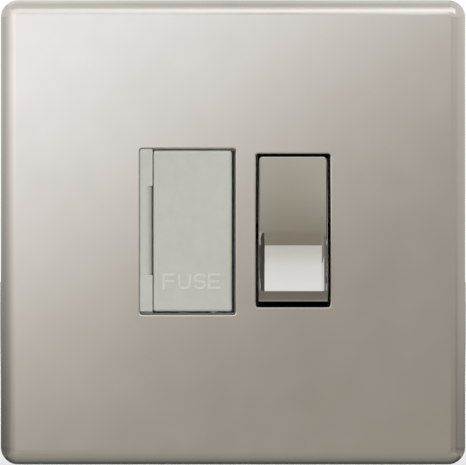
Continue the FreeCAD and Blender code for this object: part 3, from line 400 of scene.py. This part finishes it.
# Three small dark cards just before the others, for the rocker's face and its rails
ROCKER_FLAG_AWAY = -0.995
ROCKER_FLAG_SIDES = (0.002, 0.046)
RAIL_STRIP_AWAY = -0.997
RAIL_STRIP_SIDES = (-0.13, 0.20)
RAIL_STRIP_HEIGHTS = (0.262, 0.287)
RAIL_FLAG_SIDES = (0.004, 0.044)
RAIL_FLAG_FRONT = (-0.748, 0.748)
RAIL_FLAG_REAR = (-0.700, 0.798)

# Directions that a run of greys can follow
ACROSS = (1, 0, 0)
INWARD = (0, 1, 0)
UP = (0, 0, 1)
LEAN = math.radians(38)
DIAGONAL = (-math.sin(LEAN), 0, math.cos(LEAN))

# A run is a row of stops: metres along its direction, the level there and, where it isn't 0, how
# warm that grey is. A card's glow is the product of its runs. Warmth takes from the blue, and adds
# this share of it to the red.
RED_SHARE = 0.45

# The plate's flat face reflects this one, from its lower right corner to its upper left one
FRONT_RUN = [(-0.115, 0.335, 0.11), (-0.0645, 0.328, 0.11), (-0.047, 0.314, 0.11), (-0.020, 0.38, 0.10),
             (-0.003, 0.45, 0.085), (0.0125, 0.535, 0.075), (0.030, 0.67, 0.03), (0.0464, 0.88, -0.02),
             (0.060, 0.92, -0.03), (0.0727, 0.965, -0.05), (0.111, 1.14, -0.07)]

# The plate's rolled edges reflect the rest of the room: the upper one the band, brow and ceiling
BAND_RUN = [(0.15, 1.0), (0.30, 0.95), (0.50, 0.92)]
BROW_RUN = [(0.50, 1.06), (0.56, 1.11), (0.62, 1.17), (0.66, 1.19), (0.75, 1.08), (0.85, 0.88), (1.0, 0.64)]
BROW_ACROSS = [(-0.9, 0.85), (-0.075, 0.89), (0.0, 1.0), (0.07, 1.03), (0.215, 1.0), (0.221, 0.10),
               (0.9, 0.07)]
TOP_RUN = [(-0.52, 0.56), (0.0, 0.52), (0.3, 0.60), (0.6, 0.66), (2.6, 0.62)]
TOP_ACROSS = [(-0.9, 1.2), (-0.075, 1.25), (0.0, 1.0), (0.07, 1.14), (0.215, 1.1), (0.221, 0.10),
              (0.9, 0.07)]

# The lower edge reflects the card below the front one, and the room's floor
LOW_RUN = [(-0.7, 0.32, 0.08), (-0.40, 0.345, 0.10), (-0.13, 0.348, 0.11)]
LOW_ACROSS = [(-0.13, 1.22), (0.0, 1.04), (0.13, 0.98)]
FLOOR_RUN = [(-1.0, 0.335, 0.08), (-0.47, 0.32, 0.08), (-0.07, 0.25, 0.08), (0.2, 0.16, 0.05), (0.4, 0.09),
             (2.6, 0.08)]
FLOOR_ACROSS = [(-0.9, 0.95), (-0.3, 1.05), (-0.13, 1.12), (0.0, 1.0), (0.13, 0.97), (0.3, 0.97), (0.6, 1.1),
                (0.9, 1.1)]

# The left edge reflects the left wing and the left wall
LEFT_WING_RUN = [(-0.7, 0.23, 0.08), (-0.45, 0.21, 0.08), (-0.2, 0.185, 0.08), (-0.0813, 0.147, 0.08),
                 (-0.0754, 0.165, 0.07), (-0.0656, 0.192, 0.06), (-0.05, 0.272, 0.05), (-0.0343, 0.335, 0.05),
                 (-0.0187, 0.378, 0.04), (0.0, 0.43, 0.04), (0.020, 0.50, 0.03), (0.068, 0.62), (0.138, 0.68),
                 (0.142, 0.20, 0.1), (0.5, 0.18, 0.1)]
LEFT_WING_ACROSS = [(-0.9, 1.47), (-0.44, 1.72), (-0.13, 2.12)]
LEFT_RUN = [(-0.7, 0.20, 0.08), (-0.45, 0.17, 0.08), (-0.2, 0.15, 0.08), (-0.0813, 0.12, 0.08),
            (-0.0754, 0.14, 0.07), (-0.0656, 0.165, 0.06), (-0.05, 0.235, 0.05), (-0.0343, 0.295, 0.05),
            (-0.0187, 0.345, 0.04), (0.0, 0.41, 0.04), (0.020, 0.50, 0.03), (0.068, 0.62), (0.138, 0.68),
            (0.142, 0.20, 0.1), (0.658, 0.18, 0.1), (0.662, 0.68), (1.0, 0.74)]
LEFT_INWARD = [(-1.0, 1.48), (-0.6, 1.27), (-0.26, 1.05), (0.0, 0.9), (2.6, 0.9)]

# The right edge reflects the two right wings and the right wall
RIGHT_WING_RUN = [(-0.7, 0.31, 0.08), (-0.2, 0.31, 0.08), (-0.0813, 0.30, 0.08), (0.0, 0.345, 0.08),
                  (0.068, 0.46, 0.05), (0.085, 0.57, 0.03), (0.14, 0.66), (0.4, 0.95), (1.0, 0.62)]
RIGHT_FAR_RUN = [(-0.7, 0.32, 0.08), (-0.45, 0.31, 0.08), (-0.2, 0.27, 0.08), (-0.0813, 0.25, 0.08),
                 (-0.0656, 0.275, 0.08), (-0.05, 0.32, 0.08), (-0.0343, 0.375, 0.08), (0.0, 0.365, 0.08),
                 (0.068, 0.45, 0.05), (0.085, 0.62, 0.03), (0.146, 0.64, 0.03), (0.150, 0.08, 0.1),
                 (0.5, 0.07, 0.1)]
RIGHT_RUN = [(-0.7, 0.26, 0.08), (-0.45, 0.23, 0.08), (-0.2, 0.16, 0.08), (-0.0813, 0.165, 0.08),
             (-0.0656, 0.20, 0.08), (-0.05, 0.265, 0.08), (-0.0343, 0.35, 0.08), (0.0, 0.36, 0.08),
             (0.068, 0.46, 0.05), (0.085, 0.58, 0.05), (0.146, 0.60, 0.05), (0.150, 0.08, 0.1),
             (1.0, 0.07, 0.1)]
RIGHT_INWARD = [(-1.0, 0.95), (-0.6, 1.1), (-0.26, 1.2), (2.6, 1.25)]

# Behind the plate
REAR_RUN = [(-0.7, 0.08), (0.0, 0.34), (1.0, 0.60)]

# The rocker's flat face reflects its flag, the darkest part lowest, and its rails the other two
ROCKER_FLAG_RUN = [(0.200, 0.85), (0.240, 0.26, 0.24), (0.2706, 0.275, 0.24), (0.2735, 0.285, 0.24),
                   (0.2761, 0.296, 0.24), (0.2818, 0.290, 0.23), (0.2853, 0.335, 0.20),
                   (0.2904, 0.398, 0.18), (0.2985, 0.487, 0.165), (0.3067, 0.557, 0.145),
                   (0.3148, 0.585, 0.125), (0.336, 0.70, 0.08), (0.360, 0.80, 0.05), (0.434, 0.93, 0.03),
                   (0.500, 1.06)]
RAIL_STRIP_RUN = [(0.2, 0.26, 0.24), (0.3, 0.28, 0.24)]
RAIL_FLAG_RUN = [(0.5, 0.25, 0.24), (1.0, 0.25, 0.24)]

# Soft lamps: name, place, size in metres and power in watts. All face the plate's middle.
LAMPS = (
    ("key_lamp", (-0.5, -0.8, 0.7), 0.6, 5.4),
    ("fill_lamp", (0.7, -0.7, 0.2), 0.8, 1.35),
    ("rear_lamp", (0.45, 0.8, 0.6), 0.5, 4.0),
)

# Panels for the plate alone, before the places where the runs are dark for the rocker's rails:
# name, middle, the way it faces, size in metres and level. Their edges lie on the runs' steps.
PLATE_GLOWS = (
    ("left_wing_glow", (-0.52, -0.985, 0.32), (0, 1, 0), (0.76, 0.36), 0.70),
    ("left_side_glow", (-0.885, 0.775, 0.40), (1, 0, 0), (3.50, 0.52), 0.48),
    ("wing_glow", (0.55, -0.985, 0.325), (0, 1, 0), (0.70, 0.35), 0.60),
    ("brow_glow", (0.56, -0.745, 0.735), (0, 0.72, -0.69), (0.68, 0.69), 1.02),
    ("top_glow", (0.56, 1.00, 0.985), (0, 0, -1), (0.68, 3.00), 0.60),
    ("side_glow", (0.885, 0.75, 0.565), (-1, 0, 0), (3.50, 0.83), 0.60),
)

# The white surround: how strongly it lights the object, and how strongly it is seen
SURROUND_LIGHT = 0.56
SURROUND_SEEN = 1.0


def grey(level, warmth=0.0):
    """The colour of a run's stop."""
    return (level * (1 + RED_SHARE * warmth), level, level * (1 - warmth), 1.0)


def run_colour(nodes, links, place, way, stops):
    """The colour of one run of greys along a direction."""
    first = stops[0][0]
    last = stops[-1][0]
    dot = nodes.new("ShaderNodeVectorMath")
    dot.operation = "DOT_PRODUCT"
    dot.inputs[1].default_value = way
    scale = nodes.new("ShaderNodeMapRange")
    scale.inputs["From Min"].default_value = first
    scale.inputs["From Max"].default_value = last
    ramp = nodes.new("ShaderNodeValToRGB")
    links.new(place, dot.inputs[0])
    links.new(dot.outputs["Value"], scale.inputs["Value"])
    links.new(scale.outputs["Result"], ramp.inputs["Fac"])
    marks = ramp.color_ramp.elements
    while len(marks) < len(stops):
        marks.new(1.0)
    for mark, (at, *tone) in zip(marks, stops):
        mark.position = (at - first) / (last - first)
        mark.color = grey(*tone)
    return ramp.outputs["Color"]


def glowing(name, *runs):
    """A material that only glows, with the product of its runs."""
    material = bpy.data.materials.new(name)
    material.use_nodes = True
    nodes = material.node_tree.nodes
    links = material.node_tree.links
    nodes.clear()
    out = nodes.new("ShaderNodeOutputMaterial")
    glow = nodes.new("ShaderNodeEmission")
    links.new(glow.outputs["Emission"], out.inputs["Surface"])
    place = nodes.new("ShaderNodeTexCoord").outputs["Object"]
    total = None
    for way, stops in runs:
        colour = run_colour(nodes, links, place, way, stops)
        if total is None:
            total = colour
            continue
        product = nodes.new("ShaderNodeVectorMath")
        product.operation = "MULTIPLY"
        links.new(total, product.inputs[0])
        links.new(colour, product.inputs[1])
        total = product.outputs["Vector"]
    links.new(total, glow.inputs["Color"])
    glow.inputs["Strength"].default_value = 1.0
    return material


def four_corners(name, corners, material):
    """A flat sheet of the studio's with one face."""
    data = bpy.data.meshes.new(name)
    data.from_pydata([Vector(corner) for corner in corners], [], [(0, 1, 2, 3)])
    data.materials.append(material)
    item = bpy.data.objects.new(name, data)
    bpy.context.scene.collection.objects.link(item)
    return item


def spanning(front, rear, sides=(-ROOM_HALF, ROOM_HALF)):
    """Corners of a sheet between two edges that run across, each with its y and z."""
    left, right = sides
    return [(left, *front), (right, *front), (right, *rear), (left, *rear)]


def upright(left, right, low, high, away=CARD_AWAY):
    """Corners of a sheet that faces the plate."""
    return spanning((away, low), (away, high), (left, right))


def wall(x):
    """Corners of the room's wall at x."""
    return [(x, CARD_AWAY, ROOM_FLOOR), (x, CARD_AWAY, ROOM_TOP),
            (x, ROOM_REAR, ROOM_TOP), (x, ROOM_REAR, ROOM_FLOOR)]


def card(name, corners, *runs):
    """A sheet that glows with its runs, and that only reflections see."""
    item = four_corners(name, corners, glowing(name, *runs))
    item.visible_camera = False
    item.visible_diffuse = False
    item.visible_shadow = False


def cards():
    """The glowing room, from the cards before the plate to its walls."""
    front_sides = (-FRONT_HALF, FRONT_HALF)
    flag_heights = (ROCKER_FLAG_RUN[0][0], ROCKER_FLAG_RUN[-1][0])
    card("front_card", upright(*front_sides, -FRONT_HALF, FRONT_TOP), (DIAGONAL, FRONT_RUN))
    card("band_card", upright(*front_sides, FRONT_TOP, BAND_TOP), (DIAGONAL, FRONT_RUN), (UP, BAND_RUN))
    card("low_card", upright(*front_sides, ROOM_FLOOR, -FRONT_HALF), (UP, LOW_RUN), (ACROSS, LOW_ACROSS))
    card("left_wing", upright(-ROOM_HALF, -FRONT_HALF, ROOM_FLOOR, BAND_TOP),
         (UP, LEFT_WING_RUN), (ACROSS, LEFT_WING_ACROSS))
    card("right_wing", upright(FRONT_HALF, WING_SPLIT, ROOM_FLOOR, BAND_TOP), (UP, RIGHT_WING_RUN))
    card("right_far_wing", upright(WING_SPLIT, ROOM_HALF, ROOM_FLOOR, BAND_TOP), (UP, RIGHT_FAR_RUN))
    card("rocker_flag", upright(*ROCKER_FLAG_SIDES, *flag_heights, ROCKER_FLAG_AWAY), (UP, ROCKER_FLAG_RUN))
    card("rail_strip", upright(*RAIL_STRIP_SIDES, *RAIL_STRIP_HEIGHTS, RAIL_STRIP_AWAY), (UP, RAIL_STRIP_RUN))
    card("rail_flag", spanning(RAIL_FLAG_FRONT, RAIL_FLAG_REAR, RAIL_FLAG_SIDES), (UP, RAIL_FLAG_RUN))
    card("brow_card", spanning((CARD_AWAY, BAND_TOP), (BROW_REAR, ROOM_TOP)),
         (UP, BROW_RUN), (ACROSS, BROW_ACROSS))
    card("top_card", spanning((BROW_REAR, ROOM_TOP), (ROOM_REAR, ROOM_TOP)),
         (INWARD, TOP_RUN), (ACROSS, TOP_ACROSS))
    card("bottom_card", spanning((CARD_AWAY, ROOM_FLOOR), (ROOM_REAR, ROOM_FLOOR)),
         (INWARD, FLOOR_RUN), (ACROSS, FLOOR_ACROSS))
    card("rear_card", spanning((ROOM_REAR, ROOM_FLOOR), (ROOM_REAR, ROOM_TOP)), (UP, REAR_RUN))
    card("left_card", wall(-ROOM_HALF), (UP, LEFT_RUN), (INWARD, LEFT_INWARD))
    card("right_card", wall(ROOM_HALF), (UP, RIGHT_RUN), (INWARD, RIGHT_INWARD))


def floor():
    """A plain pale floor below the object."""
    shader = Shader("floor_paper", FLOOR_COLOUR, FLOOR_ROUGHNESS)
    shader.vary_roughness(shader.noise(60 * MM), less=0.05, more=0.05)
    z = PLATE_LOW.z - FLOOR_BELOW_PLATE
    edges = spanning((-FLOOR_HALF, z), (FLOOR_HALF, z), (-FLOOR_HALF, FLOOR_HALF))
    item = four_corners("floor", edges, shader.material)
    item.visible_glossy = False


def soft_lamp(name, place, size, power):
    """A square lamp that faces the plate's middle and isn't seen in reflections."""
    lamp = bpy.data.lights.new(name, "AREA")
    lamp.shape = "SQUARE"
    lamp.size = size
    lamp.energy = power
    item = bpy.data.objects.new(name, lamp)
    item.location = place
    item.rotation_euler = (-Vector(place)).to_track_quat("-Z", "Y").to_euler()
    item.visible_glossy = False
    bpy.context.scene.collection.objects.link(item)


def plate_glow(name, place, facing, size, level):
    """A soft panel that only the plate sees."""
    lamp = bpy.data.lights.new(name, "AREA")
    lamp.shape = "RECTANGLE"
    width, height = size
    lamp.size = width
    lamp.size_y = height
    lamp.energy = level * math.pi * width * height
    item = bpy.data.objects.new(name, lamp)
    item.location = place
    item.rotation_euler = Vector(facing).to_track_quat("-Z", "Y").to_euler()
    item.visible_camera = False
    item.visible_diffuse = False
    bpy.context.scene.collection.objects.link(item)
    seen_by = bpy.data.collections.get("plate_only") or bpy.data.collections.new("plate_only")
    if not seen_by.objects:
        seen_by.objects.link(frame["nodes"]["front_plate"])
    item.light_linking.receiver_collection = seen_by


def world():
    """A white surround that is seen at full strength and lights the object with less."""
    surround = bpy.data.worlds.new("studio")
    bpy.context.scene.world = surround
    surround.use_nodes = True
    nodes = surround.node_tree.nodes
    links = surround.node_tree.links
    nodes.clear()
    out = nodes.new("ShaderNodeOutputWorld")
    rays = nodes.new("ShaderNodeLightPath")
    seen = rays.outputs["Is Camera Ray"]
    for kind in ("Is Glossy Ray", "Is Transmission Ray"):
        either = nodes.new("ShaderNodeMath")
        either.operation = "MAXIMUM"
        links.new(seen, either.inputs[0])
        links.new(rays.outputs[kind], either.inputs[1])
        seen = either.outputs["Value"]
    mix = nodes.new("ShaderNodeMixShader")
    links.new(seen, mix.inputs["Fac"])
    for socket, strength in zip(mix.inputs[1:], (SURROUND_LIGHT, SURROUND_SEEN)):
        white = nodes.new("ShaderNodeBackground")
        white.inputs["Color"].default_value = (1, 1, 1, 1)
        white.inputs["Strength"].default_value = strength
        links.new(white.outputs["Background"], socket)
    links.new(mix.outputs["Shader"], out.inputs["Surface"])


def camera():
    """Straight in front, with the plate as large and as central as in the photograph."""
    data = bpy.data.cameras.new("camera")
    data.sensor_width = SENSOR_W
    data.lens = SENSOR_W * (CAMERA_AWAY + OUTLINE_BEHIND_FACE) / (IMAGE_W * PIXEL)
    data.clip_start = NEAREST_SEEN
    item = bpy.data.objects.new("camera", data)
    drop = (IMAGE_CENTRE_PX[1] - PLATE_CENTRE_PX[1]) * PIXEL
    item.location = (0, PLATE_LOW.y - CAMERA_AWAY, -drop)
    item.rotation_euler = (math.radians(90), 0, 0)
    bpy.context.scene.collection.objects.link(item)
    bpy.context.scene.camera = item


camera()
dress_frame()
raised_letters()
floor()
cards()
world()
for lamp_row in LAMPS:
    soft_lamp(*lamp_row)
for glow_row in PLATE_GLOWS:
    plate_glow(*glow_row)
bpy.context.scene.view_settings.view_transform = "Standard"
